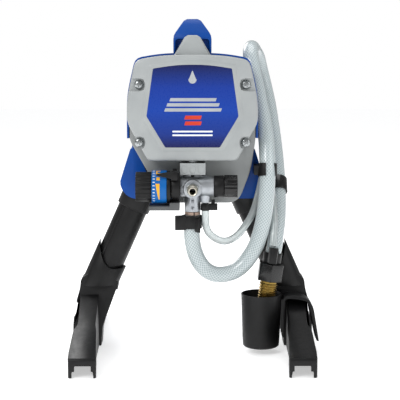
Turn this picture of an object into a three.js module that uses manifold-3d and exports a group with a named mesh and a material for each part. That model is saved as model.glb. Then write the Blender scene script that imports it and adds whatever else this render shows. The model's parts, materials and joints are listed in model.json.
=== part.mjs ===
// Stand-mounted electric airless paint sprayer: a pump and motor on two splayed legs, with its
// suction hose, prime tube, inlet strainer and drip cup. Millimetres, +Z up, front towards -Y.
// The origin is on the floor, midway between the feet.

import * as THREE from 'three';
import { mergeVertices } from 'three/addons/utils/BufferGeometryUtils.js';
import Module from 'manifold-3d';

const wasm = await Module();
wasm.setup();

// ---------------------------------------------------------------- driving dimensions

const GAP = 0.3; // clearance that neighbouring pieces keep
const WALL = 2.6; // moulded walls

const HANDLE_TOP = 462.5;
const FRONT = -78; // face of the front cover
const COVER_BACK = -46.7; // where the cover meets the drive housing
const HOUSING_BACK = -26.7;
const SHROUD_BACK = 100;
const SHROUD_FOOT = 214; // lowest edge of the side wings
const COVER_MID = 343; // height of the widest part of the cover

const SCREW_PLACES = [[-72, 374], [72, 374], [-72, 296], [72, 296]];
const SCREW_HEAD_R = 6.2;
const POCKET_FLOOR = -70;

const MOTOR_Z = 361; // motor shaft, along Y
const GEAR_Z = 321; // crank gear shaft, along Y
const TOOTH_MODULE = 1.25;
const PINION_TEETH = 12;
const GEAR_TEETH = 52;
const SHAFT_R = 4;
const CAN_R = 36;

const PUMP_Y = -62; // piston rod, pump column and suction hose
const CROSS_Z = 236; // cross passage of the fluid section
const CROSS_Y = -68;
const PUMP_FOOT = 201;
const KNOB_Y = -72;
const KNOB_Z = 236;

const LEG_LEAN = 0.448; // outward run of a leg for each millimetre down
const LEG_X = 79.7; // leg axis at LEG_Z
const LEG_Z = 209;
const LEG_R = 21;
const SLEEVE_R = 23.6;
const COLLAR_R = 25;
const FOOT_HALF_LENGTH = 180;
const ARCH_HALF_DEPTH = 16;

const CUP_X = 96;
const CUP_Y = -46.5;
const CUP_R = 28.3;
const CUP_TOP = 83;
const CUP_BOTTOM = 7.5;

const STRAINER_TILT = 0.135; // sideways run of the strainer's axis for each millimetre up
const STRAINER_FOOT = [99.8, -46.5, 50];

const HOSE_R = 11;
const PRIME_R = 5;

// Hose routes, as points on their centrelines, from the pump to the strainer.
const SUCTION_ROUTE = [
  [-1, -62, 195], [-1, -62, 182], [-0.6, -62, 163], [3, -62, 144.2], [9.6, -62, 129.8], [18.8, -62, 119],
  [31.5, -61.5, 113], [45.8, -60.5, 113], [59, -59.5, 117.5], [70.6, -58.5, 126.5], [79.7, -58, 138.5],
  [87.2, -57, 151.5], [92.4, -56, 166], [96.9, -55, 184], [100.1, -54, 204], [102.2, -53, 229],
  [103.1, -51.3, 253.6], [102.9, -45, 276.6], [101.8, -34, 300.8], [98.4, -25, 323.8], [93.7, -16, 348.3],
  [89.2, -6, 371.7], [85, 3, 392.6], [82.6, 10.5, 409], [82.8, 23, 419.3], [85, 38, 423.5],
  [89.2, 55.6, 419.5], [94.9, 69.2, 410.4], [100.5, 79.5, 391.2], [106, 79.5, 369.3], [111.3, 72, 344.7],
  [115.2, 62, 318.7], [118.3, 51, 294.5], [120.7, 38, 269.3], [122, 21, 244.5], [122, 3, 222.5],
  [121.3, -13, 203.1], [119.7, -27, 183.7], [116.4, -39, 164], [113.6, -45.6, 147], [111.9, -46.5, 139.2],
];
const PRIME_ROUTE = [
  [17.5, -66, 202.5], [17.5, -66, 192], [18.2, -66, 182], [21.4, -66, 173], [27, -66, 167],
  [35, -65.2, 162], [44, -63.3, 159.6], [53, -60.5, 161.5], [62, -56, 167], [70.6, -51, 176.2],
  [80.5, -44, 190], [86.3, -39, 202.9], [90.2, -36, 216], [93.9, -33.6, 231], [97.5, -32.4, 248],
  [98.6, -31, 260], [98.9, -26.5, 274], [98, -19.4, 293], [94.9, -7.5, 324], [91.7, 1.7, 348],
  [88.6, 12, 371], [86.7, 22.5, 390], [86.4, 33, 400.5], [87.9, 45, 405], [91.9, 56, 400.5],
  [96.4, 62.5, 389.5], [100.8, 63.5, 369], [104.7, 56, 345], [107.6, 47, 319], [109.1, 36, 295],
  [110.4, 22, 269], [110.9, 2, 247], [111.2, -14, 231], [112.1, -33, 214.5], [113, -43.5, 196],
  [113.2, -50.5, 180], [111.8, -57.5, 166], [110.8, -62, 152.4],
];

// ---------------------------------------------------------------- solids

function closedGeometry(source) {
  const loose = source.index ? source.toNonIndexed() : source;
  const bare = new THREE.BufferGeometry();
  bare.setAttribute('position', loose.getAttribute('position').clone());
  const merged = mergeVertices(bare, 1e-4);
  const position = merged.getAttribute('position');
  const index = merged.getIndex();
  const kept = [];
  let volume = 0;
  const corner = [new THREE.Vector3(), new THREE.Vector3(), new THREE.Vector3()];
  for (let i = 0; i < index.count; i += 3) {
    const face = [index.getX(i), index.getX(i + 1), index.getX(i + 2)];
    const collapsed = face[0] === face[1] || face[1] === face[2] || face[2] === face[0];
    if (!collapsed) {
      kept.push(face);
      face.forEach((vertex, n) => corner[n].fromBufferAttribute(position, vertex));
      volume += corner[0].dot(corner[1].cross(corner[2]));
    }
  }
  const outward = kept.map((face) => (volume < 0 ? [face[0], face[2], face[1]] : face));
  merged.setIndex(outward.flat());
  return merged;
}

function solid(source) {
  const geometry = closedGeometry(source);
  return new wasm.Manifold(new wasm.Mesh({
    numProp: 3,
    vertProperties: new Float32Array(geometry.getAttribute('position').array),
    triVerts: new Uint32Array(geometry.getIndex().array),
  }));
}

function solidGeometry(body) {
  const mesh = body.getMesh();
  const geometry = new THREE.BufferGeometry();
  geometry.setAttribute('position', new THREE.BufferAttribute(mesh.vertProperties.slice(), 3));
  geometry.setIndex(Array.from(mesh.triVerts));
  return geometry;
}

function joined(first, ...others) {
  return others.reduce((sum, other) => sum.add(other), first);
}

function cutBy(body, ...tools) {
  return tools.reduce((rest, tool) => rest.subtract(tool), body);
}

// ---------------------------------------------------------------- outlines and shapes

// Each point is [a, b] or [a, b, corner radius]; side -1 mirrors the outline. Larger corners get
// more segments, the smallest a single chamfer.
function outline(points, side = 1) {
  const corners = points.map(([a, b, r = 0]) => ({ at: new THREE.Vector2(side * a, b), r }));
  const places = [];
  corners.forEach(({ at, r }, i) => {
    const inward = corners[(i + corners.length - 1) % corners.length].at.clone().sub(at);
    const onward = corners[(i + 1) % corners.length].at.clone().sub(at);
    const start = at.clone().add(inward.setLength(Math.min(r, inward.length() / 2.05)));
    const end = at.clone().add(onward.setLength(Math.min(r, onward.length() / 2.05)));
    const segments = r > 9 ? 4 : Math.ceil(r / 3.5);
    if (segments > 0) {
      places.push(...new THREE.QuadraticBezierCurve(start, at, end).getPoints(segments));
    } else {
      places.push(at);
    }
  });
  return new THREE.Shape(places);
}

// The right-hand half of a symmetrical outline, listed from top to bottom, made whole.
function mirroredOutline(half) {
  const left = half.map(([a, b, r]) => [-a, b, r]).reverse();
  return outline([...half, ...left]);
}

function scaled(points, factor, middle) {
  return points.map(([a, b, r]) => [a * factor, middle + (b - middle) * factor, r]);
}

function extruded(shape, depth, bevel = 0, steps = 1) {
  return new THREE.ExtrudeGeometry(shape, {
    depth: depth - 2 * bevel,
    bevelEnabled: bevel > 0,
    bevelThickness: bevel,
    bevelSize: bevel,
    bevelOffset: -bevel,
    bevelSegments: steps,
  });
}

// An outline drawn in X and Z, given its depth along Y.
function alongY(shape, y0, y1, bevel = 0, steps = 1) {
  const geometry = extruded(shape, y1 - y0, bevel, steps);
  return geometry.rotateX(Math.PI / 2).translate(0, y1 - bevel, 0);
}

// An outline drawn in Y and Z, given its depth along X.
function alongX(shape, x0, x1, bevel = 0, steps = 1) {
  const turn = new THREE.Matrix4().makeBasis(
    new THREE.Vector3(0, 1, 0), new THREE.Vector3(0, 0, 1), new THREE.Vector3(1, 0, 0));
  return extruded(shape, x1 - x0, bevel, steps).applyMatrix4(turn).translate(x0 + bevel, 0, 0);
}

// An outline drawn in X and Y, given its height along Z.
function alongZ(shape, z0, z1, bevel = 0, steps = 1) {
  return extruded(shape, z1 - z0, bevel, steps).translate(0, 0, z0 + bevel);
}

function block(x0, x1, y0, y1, z0, z1) {
  return new THREE.BoxGeometry(x1 - x0, y1 - y0, z1 - z0)
    .translate((x0 + x1) / 2, (y0 + y1) / 2, (z0 + z1) / 2);
}

// A round bar or cone between two points.
function bar(from, to, r0, r1 = r0, sides = 20) {
  const a = new THREE.Vector3(...from);
  const b = new THREE.Vector3(...to);
  const along = b.clone().sub(a);
  const turn = new THREE.Quaternion().setFromUnitVectors(
    new THREE.Vector3(0, 1, 0), along.clone().normalize());
  const middle = a.add(b).multiplyScalar(0.5);
  return new THREE.CylinderGeometry(r1, r0, along.length(), sides)
    .applyQuaternion(turn).translate(middle.x, middle.y, middle.z);
}

// A turned shape: [radius, distance along the axis] from `from` towards `towards`.
function turned(profile, from, towards, sides = 24) {
  const points = profile.map(([r, h]) => new THREE.Vector2(r, h));
  const axis = new THREE.Vector3(...towards).normalize();
  const turn = new THREE.Quaternion().setFromUnitVectors(new THREE.Vector3(0, 1, 0), axis);
  return new THREE.LatheGeometry(points, sides).applyQuaternion(turn).translate(...from);
}

function ringProfile(inner, outer, h0, h1) {
  return [[inner, h0], [outer, h0], [outer, h1], [inner, h1], [inner, h0]];
}

function hexagon(acrossFlats, middleX, middleZ) {
  const r = acrossFlats / Math.sqrt(3);
  const points = [];
  for (let i = 0; i < 6; i += 1) {
    const angle = (i + 0.5) * Math.PI / 3;
    points.push([middleX + r * Math.cos(angle), middleZ + r * Math.sin(angle), 0.8]);
  }
  return outline(points);
}

// ---------------------------------------------------------------- finishes

function finish(color, roughness, metalness = 0) {
  return () => new THREE.MeshStandardMaterial({ color, roughness, metalness });
}

const finishes = {
  coverGrey: finish(0xb4b8ba, 0.42),
  housingGrey: finish(0x8b8e8f, 0.5, 0.3),
  blue: finish(0x1b3f8f, 0.38),
  labelBlue: finish(0x2346a0, 0.3),
  blackPlastic: finish(0x1a1a1b, 0.5),
  blackGloss: finish(0x101011, 0.25),
  aluminium: finish(0xb9bcc0, 0.4, 0.9),
  steel: finish(0xc4c8cb, 0.28, 1),
  zinc: finish(0xd2d5d6, 0.25, 1),
  brass: finish(0xb8892f, 0.28, 1),
  tan: finish(0xa8968c, 0.5, 0.4),
  ringBlue: finish(0x0f6fc4, 0.35),
  hose: finish(0xdde3e3, 0.35),
  clear: finish(0xe9ecec, 0.12),
  board: finish(0x1f5a3a, 0.5),
};

const sprayer = new THREE.Group();

function add(name, finishName, geometry, parent = sprayer) {
  const mesh = new THREE.Mesh(geometry, finishes[finishName]());
  mesh.name = name;
  parent.add(mesh);
  return mesh;
}

// ---------------------------------------------------------------- legs

function legPoint(side, z) {
  return [side * (LEG_X + LEG_LEAN * (LEG_Z - z)), 0, z];
}

function legBar(side, z0, z1, r, sides = 24) {
  return bar(legPoint(side, z0), legPoint(side, z1), r, r, sides);
}

function legTube(side) {
  const tube = cutBy(solid(legBar(side, 93, 262, LEG_R)), solid(legBar(side, 85, 270, LEG_R - 2.5)));
  const grooveOut = 1.1; // the moulding line stands this far in from the tube's outer skin
  const [x0, , z0] = legPoint(side, 262);
  const lean = Math.atan(LEG_LEAN) * side;
  const groove = block(side * 13 - 0.9, side * 13 + 0.9, -LEG_R, -LEG_R * 0.7 - grooveOut, -200, 10)
    .rotateY(-lean).translate(x0, 0, z0);
  return solidGeometry(tube.subtract(solid(groove)));
}

// Sleeved cross piece that holds both leg tubes under the motor.
function legYoke() {
  const web = solid(alongY(mirroredOutline([[34, 262, 4], [60, 240, 4], [40, 226, 6]]), -17, 17));
  const sleeves = [-1, 1].map((side) => solid(legBar(side, 198, 264, SLEEVE_R)));
  const bores = [-1, 1].map((side) => solid(legBar(side, 180, 275, LEG_R + GAP)));
  return solidGeometry(cutBy(joined(web, ...sleeves), ...bores));
}

// Half of the skid's top edge, and its plan from toe to heel and back: the heel splays outwards.
const SKID_TOP = [[16, 75], [100, 50], [FOOT_HALF_LENGTH, 25.2, 2]];
const SKID_OUTER = [[-FOOT_HALF_LENGTH, 161, 2], [-163, 161.6], [-108, 160.5, 8], [-98, 155.5, 10],
  [-16, 160], [16, 161], [100, 165, 10], [FOOT_HALF_LENGTH, 172, 2]];
const SKID_INNER = [[FOOT_HALF_LENGTH, 138, 2], [100, 137, 10], [16, 135], [-16, 134], [-98, 132, 10],
  [-108, 130, 8], [-FOOT_HALF_LENGTH, 124.5, 2]];
const TOE_NOTCH = [[128.2, -2], [128.2, 8.4], [131.5, 8.4], [131.5, 15.8], [152.9, 15.8], [152.9, 8.4],
  [156.4, 8.4], [156.4, -2]];
const HEEL_SHIFT = 12.8; // the heel's notch stands this far out from the toe's

function skid(side) {
  const inset = 3;
  const [low, high] = side > 0 ? [110, 176] : [-176, -110];
  const top = [...SKID_TOP.map(([y, z, r]) => [-y, z, r]).reverse(), ...SKID_TOP];
  const under = top.map(([y, z, r]) => [Math.sign(y) * Math.min(Math.abs(y), FOOT_HALF_LENGTH - inset),
    z - inset, r]);
  const flank = outline([[-FOOT_HALF_LENGTH, 0], ...top, [FOOT_HALF_LENGTH, 0]]);
  const flankInside = outline([[-FOOT_HALF_LENGTH + inset, -5], ...under, [FOOT_HALF_LENGTH - inset, -5]]);
  const plan = (offset) => outline([
    ...SKID_OUTER.map(([y, x, r]) => [side * (x - offset), y, r]),
    ...SKID_INNER.map(([y, x, r]) => [side * (x + offset), y, r]),
  ]);
  const whole = solid(alongX(flank, low, high)).intersect(solid(alongZ(plan(0), -1, 90)));
  const hollow = solid(alongX(flankInside, low, high)).intersect(solid(alongZ(plan(inset), -6, 90)));
  const notches = [[-FOOT_HALF_LENGTH, 0], [FOOT_HALF_LENGTH, HEEL_SHIFT]].map(([y, shift]) => solid(alongY(
    outline(TOE_NOTCH.map(([x, z]) => [x + shift, z]), side), y - 6, y + 6)));
  return cutBy(whole, hollow, ...notches);
}

function foot(side) {
  const arch = solid(alongY(outline([[106, 90], [129, 28, 4], [131, 0], [134.6, 0], [134.6, 71.5],
    [160, 71.5, 14], [167, 52], [167.6, 0], [171, 0], [171, 32, 10], [167.5, 60, 10], [160.5, 84, 4],
    [159, 98, 4], [143, 108]], side), -ARCH_HALF_DEPTH, ARCH_HALF_DEPTH));
  const collarScoop = solid(alongY(outline([[60, 112.5], [117.5, 113, 6], [127.5, 125, 8], [132, 146],
    [130, 180], [60, 180]], side), -40, 40));
  const collarBase = solid(block(side > 0 ? 90 : -180, side > 0 ? 180 : -90, -40, 40, 60, 88));
  const collar = cutBy(solid(legBar(side, 80, 158, COLLAR_R)), collarScoop, collarBase);
  const base = solid(alongY(outline([[106, 92], [107, 82], [153, 82, 3], [159, 92], [153, 100], [113, 100]],
    side), -ARCH_HALF_DEPTH, ARCH_HALF_DEPTH));
  const socket = solid(legBar(side, 92.6, 175, LEG_R + GAP));
  return solidGeometry(cutBy(joined(arch, base, collar, skid(side)), socket));
}

// ---------------------------------------------------------------- front cover

const COVER_HALF = [[38, 414, 30], [76.5, 407, 9], [86, 367, 24], [88.4, 345, 14], [88.4, 323.5, 9],
  [60, 271.3, 4]];
const LABEL_HALF = [[20, 400.6, 16], [52.75, 395.6, 1], [61.8, 332, 1], [36.75, 290, 1]];
const TONGUE_HALF = [[9, 440, 3], [25.5, 412]];

function pocketOutline(x, z, grow) {
  const out = Math.sign(x);
  const half = 8.5 + grow;
  const points = [[-half, -half, 7], [-half, half, 7], [24, half], [24, -half]];
  return outline(points.map(([a, b, r]) => [x + out * a, z + b, r]));
}

function frontCover() {
  const shell = solid(alongY(mirroredOutline(COVER_HALF), FRONT, COVER_BACK + 8, 5, 2));
  const tongue = solid(alongY(mirroredOutline(TONGUE_HALF), FRONT + 16, COVER_BACK - 1, 2));
  const hollow = solid(alongY(mirroredOutline(scaled(COVER_HALF, 0.968, COVER_MID)), FRONT + WALL,
    COVER_BACK + 12, 4));
  const rodHole = solid(bar([0, PUMP_Y, 260], [0, PUMP_Y, 290], 9));
  const body = joined(shell, tongue);
  const rest = cutBy(body, hollow, solid(block(-120, 120, COVER_BACK, COVER_BACK + 30, 250, 450)));
  const cups = SCREW_PLACES.map(([x, z]) => solid(alongY(pocketOutline(x, z, WALL), FRONT + 3,
    POCKET_FLOOR + WALL)).intersect(shell));
  const pockets = SCREW_PLACES.map(([x, z]) => solid(
    alongY(pocketOutline(x, z, 0), FRONT - 5, POCKET_FLOOR)));
  const holes = SCREW_PLACES.map(([x, z]) => solid(
    bar([x, FRONT - 5, z], [x, COVER_BACK + 5, z], 2.6, 2.6, 12)));
  const recess = solid(alongY(mirroredOutline(scaled(LABEL_HALF, 1.006, COVER_MID)), FRONT - 5, FRONT + 1.2));
  return solidGeometry(cutBy(joined(rest, ...cups), ...pockets, ...holes, recess, rodHole));
}

function coverScrew(x, z) {
  return turned([[0, 0], [3.6, 0.4], [SCREW_HEAD_R - 0.5, 1.6], [SCREW_HEAD_R, 3], [SCREW_HEAD_R, 3.7],
    [2.1, 3.7], [2.1, 34], [0, 35.5]], [x, POCKET_FLOOR - GAP - 3.7, z], [0, 1, 0], 12);
}

// ---------------------------------------------------------------- drive housing

function driveHousing() {
  const lower = [[-61, 252, 4], [-44, 214, 6], [-38, 210.5, 3], [56, 210.5, 6], [66, 218, 8], [80, 255, 10]];
  const face = outline([[-72, 396, 6], [-83, 366], [-86.4, 330], [-86.4, 297, 6], ...lower, [86.6, 297, 8],
    [86.4, 330], [83, 366], [72, 396, 6]]);
  const rear = outline([[-56, 390], [-70, 368], [-80, 330], [-80, 292], ...lower, [80, 292], [80, 330],
    [70, 368], [56, 390]]);
  const front = solid(alongY(face, COVER_BACK + GAP, -39, 1.2));
  const body = front.add(solid(alongY(rear, -42, HOUSING_BACK)));
  const gearPocket = solid(bar([0, -60, GEAR_Z], [0, -30, GEAR_Z], 36.5, 36.5, 32));
  const yokePocket = solid(block(-22, 22, -60, -34, 284, 345));
  const pinionPocket = solid(bar([0, -60, MOTOR_Z], [0, -30, MOTOR_Z], 14));
  const bearingSeat = solid(bar([0, -40, MOTOR_Z], [0, 0, MOTOR_Z], 11 + GAP));
  const gearSeat = solid(bar([0, -40, GEAR_Z], [0, 0, GEAR_Z], 5 + GAP));
  const screwHoles = SCREW_PLACES.map(([x, z]) => solid(bar([x, -60, z], [x, -34, z], 2.6, 2.6, 12)));
  return solidGeometry(cutBy(body, gearPocket, yokePocket, pinionPocket, bearingSeat, gearSeat,
    ...screwHoles));
}

// Guard in front of the piston rod, with three raised ovals.
function rodGuard() {
  const shell = solid(block(-17, 17.5, FRONT + 1, COVER_BACK - GAP, 252.6, 268.5));
  const hollow = solid(block(-14.5, 15, FRONT + 3.5, COVER_BACK + 5, 245, 275));
  const ovals = [-11, 0.3, 11.6].map((x) => solid(turned([[0, 0], [4.6, 0], [3.9, 1.4], [0, 1.9]],
    [0, 0, 0], [0, -1, 0], 16).scale(1, 1, 1.3).translate(x, FRONT + 1.3, 260)));
  return solidGeometry(cutBy(joined(shell, ...ovals), hollow));
}

// ---------------------------------------------------------------- shroud and handle

const RIM_HALF = [[38, 416.5, 30], [78, 409.5, 9], [88, 368, 24], [90, 345, 14], [90, 300]];
const RIM_INNER_HALF = [[38, 413.9, 30], [75.6, 407.4, 8], [85.4, 367, 24], [87.3, 345, 14], [87.3, 280]];
const BODY_HALF = [[40, 413, 10], [56, 409, 8], [69, 396, 12], [77, 371, 20], [84, 330, 20], [84, 285],
  [87, 283], [102, 236, 3], [98, 225, 4], [90, 216.5, 4], [82, SHROUD_FOOT]];
const BODY_INNER_HALF = [[40, 410.4, 10], [54.5, 406.4, 8], [66.6, 394, 12], [74.4, 370.3, 20],
  [81.4, 329.5, 20], [81.4, 284], [84.6, 281.5], [99.2, 235.7, 3], [95.7, 227, 4], [88.6, 219, 4],
  [81.5, 190]];
const HANDLE_HALF = [[10, HANDLE_TOP, 3], [26, 440, 5], [26, 405]];

function shroudSide(offset) {
  return outline([[HOUSING_BACK + 0.6, 300], [-38, 300], [-38, 420], [SHROUD_BACK - 14 - offset, 420],
    [SHROUD_BACK - offset, 398 - offset, 10], [SHROUD_BACK - offset, 300, 20], [52 - offset, 262, 12],
    [30 - offset, SHROUD_FOOT - 2], [HOUSING_BACK + 0.6, SHROUD_FOOT - 2]]);
}

// Carrying handle: a bow whose two posts stand on the shroud.
function carryHandle() {
  const bow = solid(alongX(outline([[-46.4, 405], [-46.4, 438, 6], [-34, HANDLE_TOP, 8], [82, HANDLE_TOP, 12],
    [98, 446, 8], [98, 405]]), -40, 40)).intersect(solid(alongY(mirroredOutline(HANDLE_HALF), -50, 100)));
  const gap = solid(alongX(outline([[-26, 404], [-26, 441, 6], [78, 441, 6], [78, 404]]), -40, 40));
  const recesses = [-1, 1].map((side) => solid(
    alongY(outline([[11, 435], [23, 435, 4], [23, 410], [18.5, 410]], side), -60, -38)));
  const grown = (half) => mirroredOutline(half.map(([x, z, r]) => [x + GAP, z + GAP, r]));
  const rimRoom = solid(alongY(grown(RIM_HALF), -50, -36 + GAP));
  const bodyRoom = solid(alongY(grown(BODY_HALF), -40, SHROUD_BACK + 6));
  return solidGeometry(cutBy(bow, gap, ...recesses, rimRoom, bodyRoom));
}

function shroudHalf(side) {
  const rim = solid(alongY(mirroredOutline(RIM_HALF), -46.4, -36));
  const rimHollow = solid(alongY(mirroredOutline(RIM_INNER_HALF), -50, -38.6));
  const hull = solid(alongY(mirroredOutline(BODY_HALF), -38, SHROUD_BACK + 5))
    .intersect(solid(alongX(shroudSide(0), -110, 110)));
  const hollow = solid(alongY(mirroredOutline(BODY_INNER_HALF), -60, SHROUD_BACK + 5))
    .intersect(solid(alongX(outline([[-24.4, 180], [-24.4, 302.6], [-60, 302.6], [-60, 412],
      [SHROUD_BACK - 16, 412], [SHROUD_BACK - WALL, 396, 10], [SHROUD_BACK - WALL, 301, 20],
      [50, 264, 12], [27.5, 215], [27, 180]]),
    -110, 110)));
  const wingFront = solid(alongY(mirroredOutline([[110, 299], [110, 190]]), -60, HOUSING_BACK + GAP));
  const plateOpening = solid(alongY(
    mirroredOutline([[81.4, 310], [81.4, 298.8], [76, 298.6], [76, 280], [40, 190]]), -60, 0));
  const legHoles = [-1, 1].map((s) => solid(legBar(s, 150, 300, SLEEVE_R + GAP)));
  const vent = solid(bar([0, 90, MOTOR_Z], [0, 120, MOTOR_Z], 33.4, 33.4, 28));
  const gland = solid(bar([-40, 80, 322], [-40, 120, 322], 8 + GAP));
  const toggle = solid(block(-100, -70, 16, 40, 288, 306));
  const whole = cutBy(joined(rim, hull), rimHollow, hollow, wingFront, plateOpening, ...legHoles,
    vent, gland, toggle);
  const half = solid(block(side > 0 ? 0.15 : -150, side > 0 ? 150 : -0.15, -60, 130, 190, 480));
  return solidGeometry(whole.intersect(half));
}

function rearGrille() {
  const disc = solid(bar([0, SHROUD_BACK - 1.5, MOTOR_Z], [0, SHROUD_BACK + 1.5, MOTOR_Z], 32.7, 32.7, 32));
  const slots = [-24, -16, -8, 0, 8, 16, 24].map((dz) => {
    const halfWidth = Math.sqrt(29 * 29 - dz * dz);
    return solid(block(-halfWidth, halfWidth, 90, 110, MOTOR_Z + dz - 2, MOTOR_Z + dz + 2));
  });
  return solidGeometry(cutBy(disc, ...slots));
}

// Hook on the right shoulder that carries the top of the hose loop.
function hoseHook() {
  const arm = alongY(outline([[71.5, 380], [92, 384, 4], [95.5, 393, 2], [92.5, 394, 2], [89.5, 389.5, 4],
    [82, 388.5, 4], [76, 386], [71.5, 386]]), 33, 44);
  const pad = block(69.2, 73, 22, 48, 372, 392);
  return cutBy(joined(solid(arm), solid(pad)),
    solid(alongY(mirroredOutline(BODY_HALF.map(([x, z, r]) => [x + GAP, z + GAP, r])), 0, 80)));
}

// ---------------------------------------------------------------- motor and drive

function motorCan() {
  const cup = solid(bar([0, HOUSING_BACK + GAP, MOTOR_Z], [0, 54, MOTOR_Z], CAN_R, CAN_R, 24));
  const inside = solid(bar([0, HOUSING_BACK + 3, MOTOR_Z], [0, 60, MOTOR_Z], CAN_R - 3, CAN_R - 3, 24));
  const hole = solid(bar([0, -30, MOTOR_Z], [0, 0, MOTOR_Z], 12, 12, 24));
  return solidGeometry(cutBy(cup, inside, hole));
}

function endBell() {
  return turned([[11.3, 0], [CAN_R, 0], [CAN_R, 4], [14, 4], [14, 8], [11.3, 8], [11.3, 0]],
    [0, 54 + GAP, MOTOR_Z], [0, 1, 0], 24);
}

function bearing(y) {
  return turned(ringProfile(SHAFT_R + GAP, 10.8, 0, 5), [0, y, MOTOR_Z], [0, 1, 0], 16);
}

function rotorShaft() {
  return turned([[0, 0], [SHAFT_R, 0.5], [SHAFT_R, 30], [27, 30], [27, 74], [SHAFT_R, 74], [SHAFT_R, 126],
    [0, 126.5]], [0, -41, MOTOR_Z], [0, 1, 0], 24);
}

// Spur gear outline; phase 0 puts a tooth on the +X axis.
function gearOutline(teeth, phase) {
  const pitchR = TOOTH_MODULE * teeth / 2;
  const tip = pitchR + 0.9 * TOOTH_MODULE;
  const root = pitchR - 1.15 * TOOTH_MODULE;
  const pitch = 2 * Math.PI / teeth;
  const points = [];
  for (let i = 0; i < teeth; i += 1) {
    const corners = [[root, -0.3], [tip, -0.11], [tip, 0.11], [root, 0.3]];
    for (const [r, share] of corners) {
      const angle = phase + (i + share) * pitch;
      points.push([r * Math.cos(angle), r * Math.sin(angle)]);
    }
  }
  return outline(points);
}

function pinion() {
  const wheel = alongY(gearOutline(PINION_TEETH, -Math.PI / 2), -41, -31).translate(0, 0, MOTOR_Z);
  const bore = solid(bar([0, -50, MOTOR_Z], [0, -20, MOTOR_Z], SHAFT_R + GAP, SHAFT_R + GAP, 20));
  return solidGeometry(cutBy(solid(wheel), bore));
}

function crankGear() {
  const gapUp = Math.PI / 2 + Math.PI / GEAR_TEETH;
  const wheel = solid(alongY(gearOutline(GEAR_TEETH, gapUp), -40, -32).translate(0, 0, GEAR_Z));
  const shaft = solid(bar([0, -33, GEAR_Z], [0, -27.2, GEAR_Z], 5));
  const pin = solid(bar([9, -55, GEAR_Z], [9, -39, GEAR_Z], 4, 4, 16));
  const boss = solid(bar([9, -46, GEAR_Z], [9, -39, GEAR_Z], 7, 7, 16));
  return solidGeometry(joined(wheel, shaft, pin, boss));
}

function coolingFan() {
  const hub = solid(turned(ringProfile(SHAFT_R + GAP, 9, 0, 14), [0, 68, MOTOR_Z], [0, 1, 0], 20));
  const blades = [];
  for (let i = 0; i < 7; i += 1) {
    const blade = block(7, 30, -0.8, 0.8, -6, 6).rotateX(0.6).rotateX(Math.PI / 2)
      .rotateY(i * 2 * Math.PI / 7).translate(0, 75, MOTOR_Z);
    blades.push(solid(blade));
  }
  return solidGeometry(joined(hub, ...blades));
}

function driveYoke() {
  const plate = solid(alongY(outline([[-17, 308, 3], [-17, 334, 3], [17, 334, 3], [17, 308, 3]]), -68, -56));
  const slot = solid(alongY(
    outline([[-13.5, 316.8, 3], [-13.5, 325.2, 3], [13.5, 325.2, 3], [13.5, 316.8, 3]]), -75, -50));
  return solidGeometry(cutBy(plate, slot));
}

function pistonRod() {
  return turned([[0, 0], [5.5, 0.8], [5.5, 70], [4, 71], [4, 75], [0, 75]], [0, PUMP_Y, 232.7],
    [0, 0, 1], 20);
}

// ---------------------------------------------------------------- fluid section

function pumpBody() {
  const mount = solid(alongY(outline([[-17, 222, 3], [-17, 248, 6], [-8, 252, 3], [14, 252, 3],
    [24, 248, 4], [24, 224, 3]]), -70, COVER_BACK - GAP));
  const cross = solid(bar([-17, CROSS_Y, CROSS_Z], [29, CROSS_Y, CROSS_Z], 13.5));
  const column = solid(bar([0, PUMP_Y, PUMP_FOOT], [0, PUMP_Y, 240], 11));
  const boss = solid(bar([0, -86, 234], [0, -60, 234], 12.5, 13.5));
  const primeBoss = solid(bar([17.5, -66, 213.5], [17.5, -66, 230], 6.5, 8, 16));
  const rodBore = solid(bar([0, PUMP_Y, 225], [0, PUMP_Y, 260], 8.3, 8.3, 20));
  const footBore = solid(bar([0, PUMP_Y, 190], [0, PUMP_Y, 226], 6.3, 6.3, 20));
  const frontBore = solid(bar([0, -95, 234], [0, PUMP_Y, 234], 4.8, 4.8, 16));
  const valveBore = solid(bar([10, CROSS_Y, CROSS_Z], [40, CROSS_Y, CROSS_Z], 5.3, 5.3, 16));
  const controlBore = solid(bar([-40, CROSS_Y, CROSS_Z], [-10, CROSS_Y, CROSS_Z], 5.3, 5.3, 16));
  const primeBore = solid(bar([17.5, -66, 200], [17.5, -66, 234], 3.3, 3.3, 12));
  const plugs = [218, 208].map((z) => solid(bar([0, -80, z], [0, -70, z], 1.7, 1.7, 10)));
  return solidGeometry(cutBy(joined(mount, cross, column, boss, primeBoss), rodBore, footBore, frontBore,
    valveBore, controlBore, primeBore, ...plugs));
}

function packingNut() {
  const nut = alongZ(hexagon(20, 0, 0), 252.4, 257.5).translate(0, PUMP_Y, 0);
  const neck = bar([0, PUMP_Y, 242], [0, PUMP_Y, 253], 8, 8, 20);
  const bore = bar([0, PUMP_Y, 235], [0, PUMP_Y, 270], 5.9, 5.9, 20);
  return solidGeometry(cutBy(joined(solid(nut), solid(neck)), solid(bore)));
}

function outletNut() {
  const nut = solid(alongY(hexagon(17, 0, 234), -93, -86.3));
  return solidGeometry(nut.subtract(solid(bar([0, -100, 234], [0, -80, 234], 6.7, 6.7, 20))));
}

function outletNipple() {
  return turned([[4.4, 0], [5.6, 0], [6.4, 1], [6.4, 26], [4.4, 26], [4.4, 0]], [0, -112.5, 234],
    [0, 1, 0], 20);
}

function intakeValve() {
  const ring = solid(turned([[4.5, 0], [10.5, 0], [10.5, 4.2], [6, 4.2], [6, 18], [4.5, 18], [4.5, 0]],
    [0, PUMP_Y, 196.4], [0, 0, 1], 24));
  return solidGeometry(ring.subtract(solid(block(1.5, 3, -80, -68, 195, 204))));
}

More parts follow.
